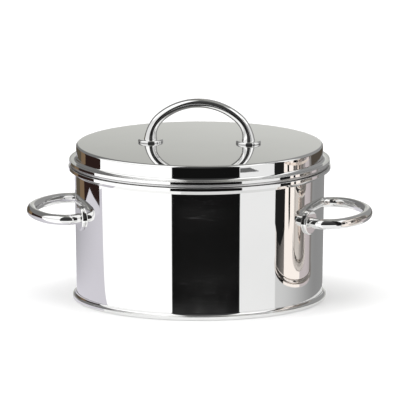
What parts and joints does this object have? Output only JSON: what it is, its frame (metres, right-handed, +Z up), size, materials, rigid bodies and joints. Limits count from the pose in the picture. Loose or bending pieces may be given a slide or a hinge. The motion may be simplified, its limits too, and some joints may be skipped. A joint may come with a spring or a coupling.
{
  "type": "soup kettle",
  "caption": "Round mirror-polished steel soup kettle with a lift-out insert, a shallow lift-off lid with an arched bar handle, and a bar loop handle on each side.",
  "frame": {"origin": "centre of the foot ring's underside, on the surface that the kettle stands on", "axes": "+X from side to side through the two loop handles, +Y towards the back, +Z up"},
  "size_m": [0.3326, 0.2514, 0.1927],
  "materials": {
    "polished_body": "polished",
    "polished_trim": "polished",
    "polished_lid": "polished",
    "satin_insert": "satin",
    "polished_bar": "polished",
    "polished_rosette": "polished",
    "plain_fixings": "satin"
  },
  "bodies": {
    "kettle": {"kettle_shell": "polished_body", "kettle_rim": "polished_trim", "foot_ring": "polished_trim", "side_handle_left": "polished_bar", "side_handle_right": "polished_bar", "side_rosette_left_front": "polished_rosette", "side_rosette_left_back": "polished_rosette", "side_rosette_right_front": "polished_rosette", "side_rosette_right_back": "polished_rosette", "handle_washers": "plain_fixings", "handle_nuts": "plain_fixings"},
    "insert": {"soup_insert": "satin_insert"},
    "lid": {"lid_cover": "polished_lid", "lid_rim": "polished_trim", "lid_collar": "satin_insert", "lid_handle": "polished_bar", "lid_rosette_left": "polished_rosette", "lid_rosette_right": "polished_rosette", "lid_screws": "plain_fixings", "lid_washers": "plain_fixings"}
  },
  "joints": [
    {"name": "insert_lift", "type": "slide", "parent": "kettle", "child": "insert", "axis": [0, 0, 1], "range_m": [0, 0.13]},
    {"name": "lid_lift", "type": "slide", "parent": "insert", "child": "lid", "axis": [0, 0, 1], "range_m": [0, 0.06]}
  ]
}
